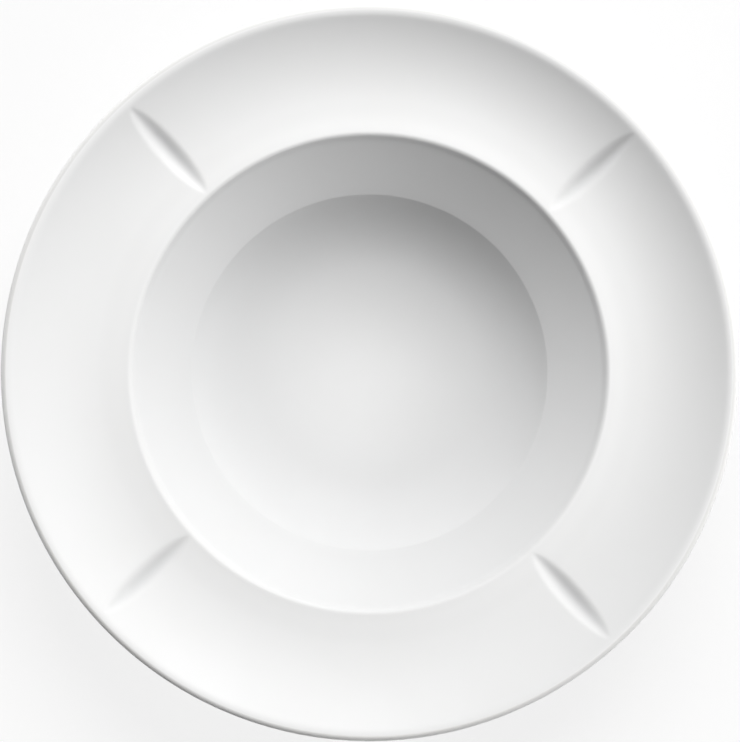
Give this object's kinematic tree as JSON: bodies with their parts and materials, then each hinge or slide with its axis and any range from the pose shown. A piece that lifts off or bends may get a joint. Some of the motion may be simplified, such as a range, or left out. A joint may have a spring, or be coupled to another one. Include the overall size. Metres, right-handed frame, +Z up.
{
  "type": "pasta plate",
  "caption": "Round white porcelain pasta plate with a deep well, a wide hollow rim with pressed lens-shaped grooves, and a foot ring.",
  "frame": {"origin": "centre of the foot ring on the standing plane", "axes": "+Z up along the plate's axis, with a groove on each diagonal between X and Y"},
  "size_m": [0.27, 0.27, 0.0493],
  "materials": {
    "porcelain": "bare, fine matt",
    "glaze": "smooth satin gloss"
  },
  "bodies": {
    "root": {"porcelain_body": "porcelain", "glaze_coat": "glaze", "glaze_foot_recess": "glaze"}
  },
  "joints": []
}
